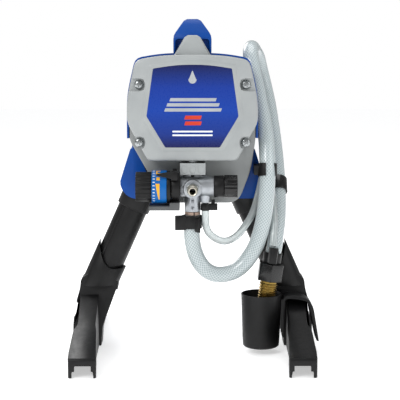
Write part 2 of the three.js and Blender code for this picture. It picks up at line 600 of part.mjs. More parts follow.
function wingClamp() {
  const band = solid(turned(ringProfile(HOSE_R + 0.6, 14, 0, 17.5), [-1, PUMP_Y, 178], [0, 0, 1], 24));
  const leftWing = solid(alongZ(outline([[-24, -75, 2], [-24, -70.5, 2], [-9, -68], [-9, -73]]),
    176.5, 196.5));
  const rightWing = solid(alongZ(outline([[3, -74.5], [9, -82, 2], [11.5, -80, 2], [7, -70]]), 174, 193));
  const bore = solid(bar([-1, PUMP_Y, 170], [-1, PUMP_Y, 200], HOSE_R + 0.6, HOSE_R + 0.6, 24));
  return solidGeometry(cutBy(joined(band, leftWing, rightWing), bore));
}

function primeBarb() {
  return turned([[1.8, 0], [3, 0], [3, 19], [1.8, 19], [1.8, 0]], [17.5, -66, 203], [0, 0, 1], 12);
}

function primeClamp() {
  const ring = solid(turned(ringProfile(PRIME_R + GAP, 6.6, 0, 9), [17.5, -66, 203.2], [0, 0, 1], 16));
  const tab = solid(block(22, 34, -69.5, -62, 203.2, 212.2));
  const ear = solid(block(25.5, 30.5, -69, -62, 211, 217.5));
  const bore = solid(bar([17.5, -66, 200], [17.5, -66, 215], PRIME_R + GAP, PRIME_R + GAP, 20));
  return solidGeometry(cutBy(joined(ring, tab, ear), bore));
}

// ---------------------------------------------------------------- controls

function ribbed(radius, ribs, depth) {
  const points = [];
  for (let i = 0; i < ribs; i += 1) {
    const corners = [[radius - depth, 0], [radius, 0.25], [radius, 0.6], [radius - depth, 0.85]];
    for (const [r, share] of corners) {
      const angle = (i + share) * 2 * Math.PI / ribs;
      points.push([r * Math.cos(angle), r * Math.sin(angle)]);
    }
  }
  return outline(points);
}

function pressureKnob() {
  const grip = solid(alongX(ribbed(20.3, 20, 1), -77, -55.4).translate(0, KNOB_Y, KNOB_Z));
  const core = solid(bar([-56, KNOB_Y, KNOB_Z], [-30.5, KNOB_Y, KNOB_Z], 18, 18, 24));
  const flange = solid(bar([-34.6, KNOB_Y, KNOB_Z], [-30, KNOB_Y, KNOB_Z], 22.3, 22.3, 32));
  const bore = solid(bar([-70, KNOB_Y, KNOB_Z], [-20, KNOB_Y, KNOB_Z], 7.4, 7.4, 20));
  return solidGeometry(cutBy(joined(grip, core, flange), bore));
}

function knobLabelRing() {
  return turned(ringProfile(18.5, 22.5, 0, 20), [-55, KNOB_Y, KNOB_Z], [1, 0, 0], 28);
}

function controlCollar() {
  const collar = solid(bar([-28.5, KNOB_Y, KNOB_Z], [-17.3, KNOB_Y, KNOB_Z], 19.6, 19.6, 32));
  const stem = solid(bar([-66, KNOB_Y, KNOB_Z], [-25, KNOB_Y, KNOB_Z], 7, 7, 20));
  const pointer = solid(alongY(outline([[-24, 248, 2], [-24, 259, 2], [-33, 258.4], [-48.5, 255.6],
    [-48.5, 253.6], [-33, 250]]), -94.4, -91.8));
  const bracket = solid(block(-28.5, -20, -94.4, -80, 247, 259));
  const tab = solid(block(-27, -21, -76, -68, 252, 260.5));
  return solidGeometry(joined(collar, stem, pointer, bracket, tab));
}

function controlBracket() {
  const plate = solid(block(-59, -17.5, -88, COVER_BACK - GAP, 205.5, 211));
  const step = solid(block(-31, -17.5, -88, -58, 210, 215.8));
  const knobRoom = solid(bar([-80, KNOB_Y, KNOB_Z], [-29, KNOB_Y, KNOB_Z], 22.9, 22.9, 32));
  const collarRoom = solid(bar([-33, KNOB_Y, KNOB_Z], [-10, KNOB_Y, KNOB_Z], 19.9, 19.9, 32));
  return solidGeometry(cutBy(joined(plate, step), knobRoom, collarRoom));
}

function primeValveBody() {
  return turned([[0, -16], [5, -16], [5, 0], [14.6, 0], [15, 0.8], [15, 12.6], [14, 13.5], [5.5, 13.5],
    [5.5, 29],
    [0, 29]], [29 + GAP, CROSS_Y, CROSS_Z], [1, 0, 0], 24);
}

function primeValveKnob() {
  const grip = solid(alongX(ribbed(15.6, 14, 0.8), 43.2, 61).translate(0, CROSS_Y, CROSS_Z));
  return solidGeometry(grip.subtract(
    solid(bar([40, CROSS_Y, CROSS_Z], [58.8, CROSS_Y, CROSS_Z], 5.9, 5.9, 20))));
}

function switchBezel() {
  const frame = solid(block(-86, -80.5, 17, 39, 289, 305));
  return solidGeometry(frame.subtract(solid(block(-90, -75, 21, 35, 291.5, 302.5))));
}

function switchToggle() {
  return alongY(outline([[-83, 293.4], [-92, 294.6, 2], [-92, 299.4, 2], [-83, 300.6]]), 22.5, 33.5, 0.8, 1);
}

function circuitBoard() {
  const board = solid(block(-62, 62, -16, -14.2, 278, 292));
  const parts = [[-50, 12], [-30, 8], [24, 10], [44, 14]].map(([x, width]) => solid(
    block(x, x + width, -15, -4, 280, 290)));
  return solidGeometry(joined(board, ...parts));
}

function cordGland() {
  return turned([[0, 0], [10.5, 0], [10.5, 3], [8, 3], [8, 10], [0, 10]],
    [-40, SHROUD_BACK + 3.3, 322], [0, -1, 0], 20);
}

// ---------------------------------------------------------------- hoses and what is on them

function hoseTube(route, radius, steps, sides) {
  const section = new THREE.Shape();
  for (let i = 0; i < sides; i += 1) {
    const angle = 2 * Math.PI * i / sides;
    const [a, b] = [radius * Math.cos(angle), radius * Math.sin(angle)];
    if (i === 0) {
      section.moveTo(a, b);
    } else {
      section.lineTo(a, b);
    }
  }
  section.closePath();
  const path = new THREE.CatmullRomCurve3(route.map((p) => new THREE.Vector3(...p)), false, 'centripetal');
  return closedGeometry(new THREE.ExtrudeGeometry(section, { steps, extrudePath: path }));
}

// C-shaped hose clip that follows the hose between two heights, its mouth turned away from the stem.
function hoseClip(low, high, stem, mouth) {
  const [a, b] = [new THREE.Vector3(...low), new THREE.Vector3(...high)];
  const height = a.distanceTo(b);
  const beyond = b.clone().sub(a).setLength(20);
  const bore = solid(bar(a.clone().sub(beyond).toArray(), b.clone().add(beyond).toArray(), HOSE_R + 0.6));
  const ring = solid(turned(ringProfile(HOSE_R + 0.6, HOSE_R + 2.4, 0, height), low,
    b.clone().sub(a).toArray(), 20));
  return solidGeometry(cutBy(joined(ring, solid(block(...stem))), bore, solid(block(...mouth))));
}

function strainerPoint(h) {
  const length = Math.hypot(1, STRAINER_TILT);
  return [STRAINER_FOOT[0] + h * STRAINER_TILT / length, STRAINER_FOOT[1], STRAINER_FOOT[2] + h / length];
}

function onStrainer(geometry) {
  return geometry.rotateY(Math.atan(STRAINER_TILT)).translate(...STRAINER_FOOT);
}

function strainerBody() {
  const socket = solid(onStrainer(turned([[0, 77], [13, 77], [13.2, 92], [0, 92]], [0, 0, 0],
    [0, 0, 1], 20)));
  const lug = solid(onStrainer(alongZ(outline([[-6, -23, 4], [-7.5, -9], [6, -9], [5, -23, 4]]), 79, 100.3)));
  const hoseRoom = solid(bar(strainerPoint(87.8), strainerPoint(120), HOSE_R + 1.1));
  return solidGeometry(cutBy(joined(socket, lug), hoseRoom));
}

function strainerNut() {
  const nut = solid(onStrainer(alongZ(hexagon(33, 0, 0), 52, 76.7)));
  const bore = solid(bar(strainerPoint(40), strainerPoint(90), 9, 9, 20));
  return solidGeometry(cutBy(nut, bore));
}

function strainerThread() {
  return onStrainer(turned([[8, 24], [12.8, 24], [12.8, 51.7], [8, 51.7], [8, 24]], [0, 0, 0],
    [0, 0, 1], 24));
}

function inletScreen() {
  return onStrainer(turned([[9.5, -14], [11.5, -14], [11.5, 23.7], [7.6, 23.7], [7.6, 21.7], [9.5, 21.7],
    [9.5, -14]], [0, 0, 0], [0, 0, 1], 20));
}

// ---------------------------------------------------------------- drip cup

function dripCup() {
  const height = CUP_TOP - CUP_BOTTOM;
  return turned([[0, 0], [CUP_R - 5.6, 0], [CUP_R - 2.9, 2.4], [CUP_R - 1.4, 40], [CUP_R, height],
    [CUP_R - 2, height], [CUP_R - 3.4, 40], [CUP_R - 4.9, 3.6], [CUP_R - 7.4, 2], [0, 2]],
  [CUP_X, CUP_Y, CUP_BOTTOM], [0, 0, 1], 28);
}

// Saddle over the right foot that the cup hangs from, with a strap down the outer side.
function cupSaddle() {
  const strap = solid(alongY(outline([[125, 22], [125, 76, 4], [130, 81.5, 4], [145, 81, 8], [161, 76.8, 12],
    [168.3, 66, 6], [176.5, 16.5], [173.4, 17], [163.4, 60, 6], [161.5, 72.5, 4], [145, 76.5, 8],
    [131, 77, 4],
    [128.4, 74], [128.4, 22]]), -57, -28));
  const cradle = solid(block(115, 127, -57, -28, 30, 76));
  const cupRoom = solid(bar([CUP_X, CUP_Y, 0], [CUP_X, CUP_Y, 95], CUP_R + GAP, CUP_R + GAP, 28));
  return solidGeometry(cutBy(joined(strap, cradle), cupRoom));
}

// ---------------------------------------------------------------- assembly

for (const [name, side] of [['left', -1], ['right', 1]]) {
  add(`foot_${name}`, 'blackPlastic', foot(side));
  add(`leg_tube_${name}`, 'blackPlastic', legTube(side));
  add(`shroud_${name}`, 'blue', shroudHalf(side));
}
add('carry_handle', 'blue', carryHandle());
add('leg_yoke', 'blackPlastic', legYoke());
add('front_cover', 'coverGrey', frontCover());
add('label_plate', 'labelBlue',
  closedGeometry(alongY(mirroredOutline(LABEL_HALF), FRONT + 0.1, FRONT + 0.9)));
SCREW_PLACES.forEach(([x, z], i) => add(`cover_screw_${i + 1}`, 'zinc', closedGeometry(coverScrew(x, z))));
add('drive_housing', 'housingGrey', driveHousing());
add('rod_guard', 'coverGrey', rodGuard());
add('rear_grille', 'blackPlastic', rearGrille());
add('hose_hook', 'blackPlastic', solidGeometry(hoseHook()));
add('motor_can', 'steel', motorCan());
add('motor_end_bell', 'aluminium', closedGeometry(endBell()));
add('front_bearing', 'steel', closedGeometry(bearing(-29.6)));
add('rear_bearing', 'steel', closedGeometry(bearing(56)));
add('rotor_shaft', 'steel', closedGeometry(rotorShaft()));
add('pinion', 'steel', pinion());
add('cooling_fan', 'blackPlastic', coolingFan());
add('crank_gear', 'steel', crankGear());
add('drive_yoke', 'steel', driveYoke());
add('piston_rod', 'zinc', closedGeometry(pistonRod()));
add('pump_body', 'aluminium', pumpBody());
add('packing_nut', 'blackPlastic', packingNut());
add('outlet_nut', 'zinc', outletNut());
add('outlet_nipple', 'zinc', closedGeometry(outletNipple()));
add('intake_valve', 'tan', intakeValve());
add('suction_clamp', 'blackPlastic', wingClamp());
add('prime_barb', 'blackPlastic', closedGeometry(primeBarb()));
add('prime_clamp', 'blackPlastic', primeClamp());
add('control_collar', 'blackPlastic', controlCollar());
add('control_bracket', 'housingGrey', controlBracket());
add('pressure_knob', 'blackPlastic', pressureKnob());
add('knob_label_ring', 'ringBlue', closedGeometry(knobLabelRing()));
add('prime_valve_body', 'blackPlastic', closedGeometry(primeValveBody()));
add('prime_valve_knob', 'blackGloss', primeValveKnob());
add('switch_bezel', 'blackPlastic', switchBezel());
add('switch_toggle', 'blackPlastic', closedGeometry(switchToggle()));
add('circuit_board', 'board', circuitBoard());
add('cord_gland', 'blackPlastic', closedGeometry(cordGland()));
add('hose_clip_front', 'blackPlastic', hoseClip([103, -52, 248.2], [103.1, -48.7, 265.3],
  [84.6, 91.1, -55, -27, 250, 263], [100, 118, -70, -56.5, 240, 275]));
add('hose_clip_rear', 'blackPlastic', hoseClip([122, 0.9, 220], [122.1, 14.4, 236.5],
  [103, 111.2, 1, 13, 222, 235], [116.5, 127.5, 15, 60, 190, 270]));
add('suction_hose', 'hose', hoseTube(SUCTION_ROUTE, HOSE_R, 50, 10));
add('prime_tube', 'clear', hoseTube(PRIME_ROUTE, PRIME_R, 54, 8));
add('strainer_body', 'blackPlastic', strainerBody());
add('strainer_nut', 'blackPlastic', strainerNut());
add('strainer_thread', 'brass', closedGeometry(strainerThread()));
add('inlet_screen', 'steel', closedGeometry(inletScreen()));
add('drip_cup', 'blackPlastic', closedGeometry(dripCup()));
add('cup_saddle', 'blackPlastic', cupSaddle());

export default sprayer;
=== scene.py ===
import json
import math

import bpy
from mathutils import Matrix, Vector

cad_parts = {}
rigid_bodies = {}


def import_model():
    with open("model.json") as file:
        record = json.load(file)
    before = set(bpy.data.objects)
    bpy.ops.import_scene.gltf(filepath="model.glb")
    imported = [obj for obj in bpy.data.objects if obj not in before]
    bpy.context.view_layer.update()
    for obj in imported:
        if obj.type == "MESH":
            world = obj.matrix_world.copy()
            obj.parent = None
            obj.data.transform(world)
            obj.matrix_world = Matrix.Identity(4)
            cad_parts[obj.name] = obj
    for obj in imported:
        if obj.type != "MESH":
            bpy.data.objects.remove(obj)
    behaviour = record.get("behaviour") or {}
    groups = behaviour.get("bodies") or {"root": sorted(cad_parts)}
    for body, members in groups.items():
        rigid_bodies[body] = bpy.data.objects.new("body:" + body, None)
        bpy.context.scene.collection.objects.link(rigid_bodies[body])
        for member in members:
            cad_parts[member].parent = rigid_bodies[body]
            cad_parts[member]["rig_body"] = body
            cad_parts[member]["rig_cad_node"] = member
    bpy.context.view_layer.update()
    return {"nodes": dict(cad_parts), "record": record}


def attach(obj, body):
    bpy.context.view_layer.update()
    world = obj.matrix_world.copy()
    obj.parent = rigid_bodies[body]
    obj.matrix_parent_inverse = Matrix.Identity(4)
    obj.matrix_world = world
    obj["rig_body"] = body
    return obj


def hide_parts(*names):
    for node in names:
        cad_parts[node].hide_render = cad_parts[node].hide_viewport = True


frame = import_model()
nodes = frame["nodes"]
bodyOf = {n: b for b, members in frame["record"]["behaviour"]["bodies"].items() for n in members}
slotOf = {entry["node"]: entry["material_slot"] for entry in frame["record"]["subparts"]}
mm = 0.001
print("frame loaded:", len(nodes), "solids")

# ------- camera, floor and light

studio = {
    "cameraAt": (0.0, -1.583, 0.414),
    "cameraAim": (0.0106, 0.0, 0.2085),
    "lens": 100.8,
    "floorSize": 14.0,
    "floorDepth": 0.0004,
    "floorHex": "f2f2f2",
    "floorGlow": 0.5,
    "worldHex": "f6f7f8",
    "worldStrength": 0.62,
    "mirroredStrength": 0.32,
    "backdropStrength": 1.0,
}


def linear(hexColour, alpha=1.0):
    channels = [int(hexColour[i:i + 2], 16) / 255 for i in (0, 2, 4)]
    return tuple(c / 12.92 if c <= 0.04045 else ((c + 0.055) / 1.055) ** 2.4 for c in channels) + (alpha,)


def aim(thing, target):
    direction = Vector(target) - thing.location
    thing.rotation_euler = direction.to_track_quat("-Z", "Y").to_euler()


cameraData = bpy.data.cameras.new("photoCamera")
cameraData.lens = studio["lens"]
cameraData.clip_start = 0.05
camera = bpy.data.objects.new("photoCamera", cameraData)
bpy.context.scene.collection.objects.link(camera)
camera.location = studio["cameraAt"]
aim(camera, studio["cameraAim"])
bpy.context.scene.camera = camera
bpy.context.scene.view_settings.view_transform = "Standard"

# softboxes: place, size in metres, watts; all of them face the middle of the sprayer
softboxTarget = (0, 0, 0.22)
softboxes = {
    "keyFromLeft": ((-1.3, -1.7, 1.7), 1.0, 26),
    "fillFromRight": ((1.7, -1.2, 1.0), 1.2, 9),
    "topLight": ((0.1, 0.3, 2.0), 1.4, 14),
    "rimFromBehind": ((-0.8, 1.6, 1.2), 1.0, 12),
}
for name, (place, size, watts) in softboxes.items():
    light = bpy.data.lights.new(name, "AREA")
    light.size = size
    light.energy = watts
    box = bpy.data.objects.new(name, light)
    bpy.context.scene.collection.objects.link(box)
    box.location = place
    aim(box, softboxTarget)

world = bpy.data.worlds.new("studioWhite")
bpy.context.scene.world = world
world.use_nodes = True
ambient = world.node_tree.nodes["Background"]
ambient.inputs["Color"].default_value = linear(studio["worldHex"])
ambient.inputs["Strength"].default_value = studio["worldStrength"]
backdrop = world.node_tree.nodes.new("ShaderNodeBackground")
backdrop.inputs["Color"].default_value = (1, 1, 1, 1)
backdrop.inputs["Strength"].default_value = studio["backdropStrength"]
ray = world.node_tree.nodes.new("ShaderNodeLightPath")
dimRoom = world.node_tree.nodes.new("ShaderNodeBackground")
dimRoom.inputs["Color"].default_value = (1, 1, 1, 1)
dimRoom.inputs["Strength"].default_value = studio["mirroredStrength"]
gloss = world.node_tree.nodes.new("ShaderNodeMixShader")
world.node_tree.links.new(ray.outputs["Is Glossy Ray"], gloss.inputs[0])
world.node_tree.links.new(ambient.outputs[0], gloss.inputs[1])
world.node_tree.links.new(dimRoom.outputs[0], gloss.inputs[2])
chooser = world.node_tree.nodes.new("ShaderNodeMixShader")
world.node_tree.links.new(ray.outputs["Is Camera Ray"], chooser.inputs[0])
world.node_tree.links.new(gloss.outputs[0], chooser.inputs[1])
world.node_tree.links.new(backdrop.outputs[0], chooser.inputs[2])
world.node_tree.links.new(chooser.outputs[0], world.node_tree.nodes["World Output"].inputs["Surface"])
print("camera and light placed")

# ------- finishes


def newMaterial(name):
    material = bpy.data.materials.new(name)
    material.use_nodes = True
    material.node_tree.nodes.clear()
    return material


def addNode(material, kind, settings=None, links=None):
    node = material.node_tree.nodes.new(kind)
    for key, value in (settings or {}).items():
        if isinstance(key, int) or key in node.inputs:
            node.inputs[key].default_value = value
        else:
            setattr(node, key, value)
    for key, source in (links or {}).items():
        material.node_tree.links.new(source, node.inputs[key])
    return node


def setRamp(node, stops):
    ramp = node.color_ramp
    while len(ramp.elements) < len(stops):
        ramp.elements.new(0.5)
    for element, (place, hexColour) in zip(ramp.elements, stops):
        element.position = place
        element.color = linear(hexColour)


def finishSurface(material, shader, links=None):
    addNode(material, "ShaderNodeOutputMaterial", links={"Surface": shader.outputs[0]})
    return material


# A moulded or coated surface: a fine grain, broad colour drift and faint handling marks.
def mouldedFinish(name, tones, roughness, grain, grainDepth, coat=0.0, metallic=0.0, drift=30, scuff=0.12,
                  specular=0.5):
    material = newMaterial(name)
    place = addNode(material, "ShaderNodeTexCoord")
    broad = addNode(material, "ShaderNodeTexNoise", {"Scale": drift, "Detail": 3.0},
                    {"Vector": place.outputs["Object"]})
    colour = addNode(material, "ShaderNodeValToRGB", links={"Fac": broad.outputs["Fac"]})
    setRamp(colour, [(0.3, tones[0]), (0.7, tones[1])])
    fine = addNode(material, "ShaderNodeTexNoise", {"Scale": 1 / (grain * mm), "Detail": 2.0},
                   {"Vector": place.outputs["Object"]})
    marks = addNode(material, "ShaderNodeTexNoise", {"Scale": 140.0, "Detail": 6.0, "Roughness": 0.7},
                    {"Vector": place.outputs["Object"]})
    rough = addNode(material, "ShaderNodeMapRange", {"From Min": 0.3, "From Max": 0.75,
                    "To Min": roughness - scuff / 2, "To Max": roughness + scuff},
                    {"Value": marks.outputs["Fac"]})
    bump = addNode(material, "ShaderNodeBump", {"Strength": grainDepth, "Distance": 0.15 * mm},
                   {"Height": fine.outputs["Fac"]})
    shader = addNode(material, "ShaderNodeBsdfPrincipled",
                     {"Metallic": metallic, "Coat Weight": coat, "Coat Roughness": 0.2,
                      "Specular IOR Level": specular},
                     {"Base Color": colour.outputs["Color"], "Roughness": rough.outputs["Result"],
                      "Normal": bump.outputs["Normal"]})
    return finishSurface(material, shader)


finishes = {
    # powder-coated die casting: light grey, satin, a fine orange peel
    "cover_grey": mouldedFinish("powderCoatLightGrey", ("989c9d", "a2a6a6"), 0.4, 0.9, 0.25),
    # rough cast and thinly painted: darker, flatter grey
    "housing_grey": mouldedFinish("paintedCastingGrey", ("868989", "919494"), 0.52, 0.8, 0.4),
    # injection-moulded ABS with a spark-eroded skin: satin blue
    "blue_shroud": mouldedFinish("mouldedBlueAbs", ("03408f", "05479a"), 0.4, 0.7, 0.3, specular=0.22),
    # glass-filled nylon: near black, soft broad highlights
    "black_plastic": mouldedFinish("glassFilledNylon", ("0b0b0c", "111112"), 0.42, 0.8, 0.3, specular=0.3),
    "bracket_grey": mouldedFinish("darkCastingGrey", ("4c4e4f", "5a5c5d"), 0.5, 0.8, 0.4),
    "black_gloss": mouldedFinish("polishedBlackNylon", ("070708", "0d0d0e"), 0.22, 1.2, 0.12, specular=0.5),
    # sand-cast aluminium, tumbled: bright, grainy and uneven
    "cast_aluminium": mouldedFinish("tumbledCastAluminium", ("a4a8ad", "b9bdc1"), 0.36, 1.1, 0.5,
                                    metallic=0.9, drift=90, scuff=0.2),
    "bright_steel": mouldedFinish("groundSteel", ("b4b6b8", "c4c6c8"), 0.28, 0.6, 0.12, metallic=1.0),
    "zinc": mouldedFinish("zincPlatedSteel", ("9a9ea0", "b0b4b5"), 0.24, 0.8, 0.1, metallic=1.0, drift=200),
    "brass_thread": mouldedFinish("turnedBrass", ("7d6530", "9a8044"), 0.26, 0.6, 0.12, metallic=1.0),
    "tan_ring": mouldedFinish("sinteredBronzeGrey", ("a08a7c", "b79f90"), 0.55, 0.6, 0.5, metallic=0.4),
    "ring_blue": mouldedFinish("printedCyanFilm", ("0459a0", "0663b0"), 0.34, 1.0, 0.06, specular=0.3),
    "board_green": mouldedFinish("solderMaskGreen", ("184d34", "1f5c3f"), 0.45, 0.6, 0.1),
    "silver_print": mouldedFinish("silverGreyFrame", ("a9adb0", "b7bbbe"), 0.34, 0.8, 0.15, metallic=0.3),
    "yellow_print": mouldedFinish("printedYellow", ("e0a62c", "e8b038"), 0.4, 1.0, 0.05, specular=0.3),
    "white_print": mouldedFinish("printedWhite", ("dfe6ea", "e9eef0"), 0.4, 1.0, 0.05),
    "nickel_cream": mouldedFinish("dullNickel", ("c9c4b4", "d8d3c4"), 0.3, 0.7, 0.15, metallic=0.85),
    "red_print": mouldedFinish("printedOrangeRed", ("c2341f", "c93c28"), 0.4, 1.0, 0.05, specular=0.3),
}


# Screen-printed polycarbonate: royal blue that darkens to navy at its top and bottom edges.
def printedPlate():
    material = newMaterial("printedBluePolycarbonate")
    place = addNode(material, "ShaderNodeTexCoord")
    parts = addNode(material, "ShaderNodeSeparateXYZ", links={"Vector": place.outputs["Object"]})
    height = addNode(material, "ShaderNodeMapRange", {"From Min": 0.290, "From Max": 0.401},
                     {"Value": parts.outputs["Z"]})
    colour = addNode(material, "ShaderNodeValToRGB", links={"Fac": height.outputs["Result"]})
    setRamp(colour, [(0.0, "12164c"), (0.16, "122f80"), (0.45, "0e3b9a"), (0.72, "10348f"), (0.9, "13276a"),
                     (1.0, "131646")])
    grain = addNode(material, "ShaderNodeTexNoise", {"Scale": 900.0, "Detail": 2.0},
                    {"Vector": place.outputs["Object"]})
    rough = addNode(material, "ShaderNodeMapRange", {"To Min": 0.22, "To Max": 0.36},
                    {"Value": grain.outputs["Fac"]})
    shader = addNode(material, "ShaderNodeBsdfPrincipled", {"Coat Weight": 0.08, "Coat Roughness": 0.15,
                                                             "Specular IOR Level": 0.25},
                     {"Base Color": colour.outputs["Color"], "Roughness": rough.outputs["Result"]})
    return finishSurface(material, shader)


# Clear vinyl over a white thread net: two families of threads cross at a steep angle.
def braidedVinyl():
    material = newMaterial("braidedVinyl")
    place = addNode(material, "ShaderNodeUVMap", {"uv_map": "along"})
    parts = addNode(material, "ShaderNodeSeparateXYZ", links={"Vector": place.outputs["UV"]})
    around = addNode(material, "ShaderNodeMath", {"operation": "MULTIPLY", 1: 16.0},
                     {0: parts.outputs["X"]})
    # one diamond is 4.6 mm long, twice the real net, so that it still shows
    along = addNode(material, "ShaderNodeMath", {"operation": "MULTIPLY", 1: 1 / (4.6 * mm)},
                    {0: parts.outputs["Y"]})
    waves = []
    for turn in ("ADD", "SUBTRACT"):
        phase = addNode(material, "ShaderNodeMath", {"operation": turn},
                        {0: around.outputs[0], 1: along.outputs[0]})
        saw = addNode(material, "ShaderNodeMath", {"operation": "PINGPONG", 1: 0.5}, {0: phase.outputs[0]})
        waves.append(addNode(material, "ShaderNodeMapRange", {"interpolation_type": "SMOOTHSTEP",
                             "From Min": 0.30, "From Max": 0.44}, {"Value": saw.outputs[0]}))
    net = addNode(material, "ShaderNodeMath", {"operation": "MAXIMUM"},
                  {0: waves[0].outputs["Result"], 1: waves[1].outputs["Result"]})
    colour = addNode(material, "ShaderNodeValToRGB", links={"Fac": net.outputs[0]})
    setRamp(colour, [(0.0, "9fadb0"), (1.0, "d3dbdc")])
    bump = addNode(material, "ShaderNodeBump", {"Strength": 0.25, "Distance": 0.2 * mm},
                   {"Height": net.outputs[0]})
    shader = addNode(material, "ShaderNodeBsdfPrincipled",
                     {"Roughness": 0.3, "IOR": 1.53, "Coat Weight": 0.6, "Coat Roughness": 0.12,
                      "Transmission Weight": 0.12},
                     {"Base Color": colour.outputs["Color"], "Normal": bump.outputs["Normal"]})
    return finishSurface(material, shader)


# Plain clear vinyl: a milky body with a wet highlight.
def clearVinyl():
    material = newMaterial("clearVinyl")
    place = addNode(material, "ShaderNodeTexCoord")
    cloud = addNode(material, "ShaderNodeTexNoise", {"Scale": 60.0, "Detail": 3.0},
                    {"Vector": place.outputs["Object"]})
    colour = addNode(material, "ShaderNodeValToRGB", links={"Fac": cloud.outputs["Fac"]})
    setRamp(colour, [(0.3, "cfd8d8"), (0.7, "dde4e4")])
    shader = addNode(material, "ShaderNodeBsdfPrincipled",
                     {"Roughness": 0.12, "IOR": 1.53, "Coat Weight": 0.5, "Coat Roughness": 0.06,
                      "Transmission Weight": 0.55}, {"Base Color": colour.outputs["Color"]})
    return finishSurface(material, shader)


finishes["label_blue"] = printedPlate()
finishes["milky_hose"] = braidedVinyl()
finishes["clear_tube"] = clearVinyl()
print("finishes made:", len(finishes))

# ------- helpers for making pieces


def selectOnly(thing):
    bpy.ops.object.select_all(action="DESELECT")
    thing.select_set(True)
    bpy.context.view_layer.objects.active = thing


def paint(thing, finish):
    thing.data.materials.clear()
    thing.data.materials.append(finishes[finish])


def smooth(thing, degrees=32):
    selectOnly(thing)
    bpy.ops.object.shade_smooth_by_angle(angle=math.radians(degrees))


remade = set()


def place(thing, *replaced, body=None, finish=None, slot=None):
    first = replaced[0] if replaced else None
    paint(thing, finish or slotOf[first])
    if replaced:
        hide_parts(*replaced)
        remade.update(replaced)
    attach(thing, body or bodyOf[first])
    slot or slotOf[first]
    return thing


def enterEdit(thing):
    selectOnly(thing)
    bpy.ops.object.mode_set(mode="EDIT")
    bpy.ops.mesh.select_all(action="SELECT")


def leaveEdit():
    bpy.ops.object.mode_set(mode="OBJECT")


def settle(thing):
    selectOnly(thing)
    bpy.ops.object.transform_apply(location=True, rotation=True, scale=True)
    return thing


# Select the vertices, edges or faces that pass the test; called between edit-mode operators.
def selectWhere(thing, kind, test):
    bpy.ops.mesh.select_all(action="DESELECT")
    bpy.ops.mesh.select_mode(type={"vertices": "VERT", "edges": "EDGE", "polygons": "FACE"}[kind])
    bpy.ops.object.mode_set(mode="OBJECT")
    mesh = thing.data
    for part in getattr(mesh, kind):
        part.select = test(part, mesh)
    bpy.ops.object.mode_set(mode="EDIT")


def softEdges(thing, width, segments=2, angle=30):
    selectOnly(thing)
    bevel = thing.modifiers.new("softEdges", "BEVEL")
    bevel.width = width * mm
    bevel.segments = segments
    bevel.limit_method = "ANGLE"
    bevel.angle_limit = math.radians(angle)
    bpy.ops.object.modifier_apply(modifier=bevel.name)


# A turned piece: a point is drawn out along the profile, spun about Z and laid on its own axis.
def turnedPiece(name, profile, start, direction, steps=48):
    bpy.ops.object.select_all(action="DESELECT")
    bpy.ops.mesh.primitive_plane_add(size=0.002)
    piece = bpy.context.active_object
    piece.name = piece.data.name = name
    enterEdit(piece)
    bpy.ops.mesh.merge(type="CENTER")
    bpy.ops.transform.translate(value=(profile[0][0] * mm, 0, profile[0][1] * mm))
    for (r0, h0), (r1, h1) in zip(profile, profile[1:]):
        bpy.ops.mesh.extrude_region_move(
            TRANSFORM_OT_translate={"value": ((r1 - r0) * mm, 0, (h1 - h0) * mm)})
    bpy.ops.mesh.select_all(action="SELECT")
    bpy.ops.mesh.spin(steps=steps, angle=2 * math.pi, center=(0, 0, 0), axis=(0, 0, 1))
    bpy.ops.mesh.select_all(action="SELECT")
    bpy.ops.mesh.remove_doubles(threshold=0.01 * mm)
    bpy.ops.mesh.normals_make_consistent(inside=False)
    leaveEdit()
    piece.location = Vector(start) * mm
    piece.rotation_euler = Vector(direction).to_track_quat("Z", "Y").to_euler()
    smooth(settle(piece), 35)
    return piece


# Corners closer than "merge" are one corner, and faces within "flat" degrees are one face.
skin = {"merge": 0.02, "flat": 0.8, "smooth": 36}


# The merged skin of a solid, free of the frame's own marks.
def mergedSkin(nodeName):
    piece = nodes[nodeName].copy()
    piece.data = nodes[nodeName].data.copy()
    piece.name = piece.data.name = nodeName + "_skin"
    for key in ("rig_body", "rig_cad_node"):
        if key in piece:
            del piece[key]
    piece.parent = None
    bpy.context.scene.collection.objects.link(piece)
    enterEdit(piece)
    bpy.ops.mesh.remove_doubles(threshold=skin["merge"] * mm)
    bpy.ops.mesh.dissolve_limited(angle_limit=math.radians(skin["flat"]))
    leaveEdit()
    return piece


# Each foot has a wing outside its skid; its inner face lies between two widths, below a height.
footWing = {"inner": (165.5, 169.0), "halfDepth": 16.5, "top": 60.0, "drawnTo": 161.8}


# The inner face is drawn in until only a shadow line is left between wing and skid.
def thickenWing(foot):
    near, far = footWing["inner"]
    for side in (-1, 1):
        enterEdit(foot)
        selectWhere(foot, "vertices", lambda v, mesh: near * mm < side * v.co.x < far * mm
                    and abs(v.co.y) < footWing["halfDepth"] * mm and v.co.z < footWing["top"] * mm)
        bpy.ops.transform.resize(value=(0, 1, 1), center_override=(side * footWing["drawnTo"] * mm, 0, 0))
        leaveEdit()


# A solid's skin with its sharp edges rounded, as the mould or the tumbler leaves them.
def roundedSkin(nodeName, edge=0.5, sharp=30, finish=None):
    piece = mergedSkin(nodeName)
    if nodeName in ("foot_left", "foot_right"):
        thickenWing(piece)
    bevel = piece.modifiers.new("softEdges", "BEVEL")
    bevel.width = edge * mm
    bevel.segments = 2
    bevel.limit_method = "ANGLE"
    bevel.angle_limit = math.radians(sharp)
    bevel.use_clamp_overlap = False
    bpy.ops.object.modifier_apply(modifier=bevel.name)
    smooth(piece, skin["smooth"])
    return place(piece, nodeName, finish=finish)


# ------- hoses

